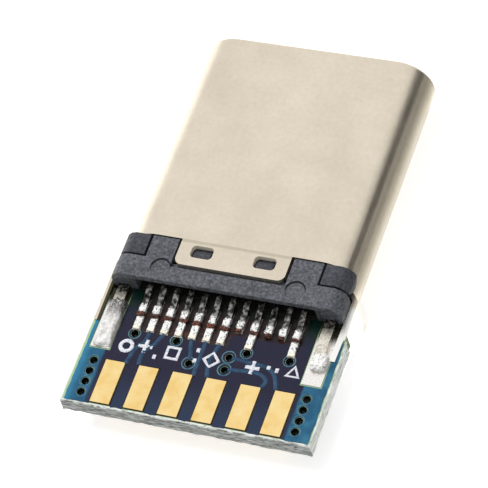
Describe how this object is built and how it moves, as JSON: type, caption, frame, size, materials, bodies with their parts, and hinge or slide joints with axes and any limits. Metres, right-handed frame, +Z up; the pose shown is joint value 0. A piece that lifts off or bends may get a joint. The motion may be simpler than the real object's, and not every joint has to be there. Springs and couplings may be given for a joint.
{
  "type": "usb-c plug",
  "caption": "Flat rounded metal plug shell around a black insulator with spring contacts, soldered to a small blue circuit board with gold pads for a cable's wires.",
  "frame": {"origin": "bottom centre of the part's bounding box, on the surface it rests on", "axes": "+Y out of the plug's mouth along its length, +Z up through the thickness, +X across"},
  "size_m": [0.0088, 0.0148, 0.0024],
  "materials": {
    "shell_steel": "satin nickel plate with fine mottling",
    "insulator_plastic": "black glass-filled polymer, fine grain",
    "carrier_plastic": "black glass-filled polymer, fine grain, grey bloom on top",
    "contact_alloy": "copper alloy, gold flash inside, tinned at the foot",
    "latch_steel": "stamped spring steel",
    "spring_steel": "thin spring steel",
    "board_laminate": "dark blue solder mask over glass fibre laminate",
    "gold_pad": "gold plate",
    "tinned_pad": "bright tin",
    "solder": "lumpy solder"
  },
  "bodies": {
    "root": {"cable_pads_bottom": "gold_pad", "cable_pads_top": "gold_pad", "circuit_board": "board_laminate", "contact_pads_bottom": "tinned_pad", "contact_pads_top": "tinned_pad", "contact_solder_bottom": "solder", "contact_solder_top": "solder", "front_insulator": "insulator_plastic", "latch_plate": "latch_steel", "lower_carrier": "carrier_plastic", "lower_contact_01": "contact_alloy", "lower_contact_02": "contact_alloy", "lower_contact_03": "contact_alloy", "lower_contact_04": "contact_alloy", "lower_contact_05": "contact_alloy", "lower_contact_06": "contact_alloy", "lower_contact_07": "contact_alloy", "lower_contact_08": "contact_alloy", "lower_contact_09": "contact_alloy", "lower_contact_10": "contact_alloy", "lower_contact_11": "contact_alloy", "lower_contact_12": "contact_alloy", "lower_shield_spring": "spring_steel", "shell": "shell_steel", "shield_pads_bottom": "tinned_pad", "shield_pads_top": "tinned_pad", "shield_solder": "solder", "upper_carrier": "carrier_plastic", "upper_contact_01": "contact_alloy", "upper_contact_02": "contact_alloy", "upper_contact_03": "contact_alloy", "upper_contact_04": "contact_alloy", "upper_contact_05": "contact_alloy", "upper_contact_06": "contact_alloy", "upper_contact_07": "contact_alloy", "upper_contact_08": "contact_alloy", "upper_contact_09": "contact_alloy", "upper_contact_10": "contact_alloy", "upper_contact_11": "contact_alloy", "upper_contact_12": "contact_alloy", "upper_shield_spring": "spring_steel"}
  },
  "joints": []
}
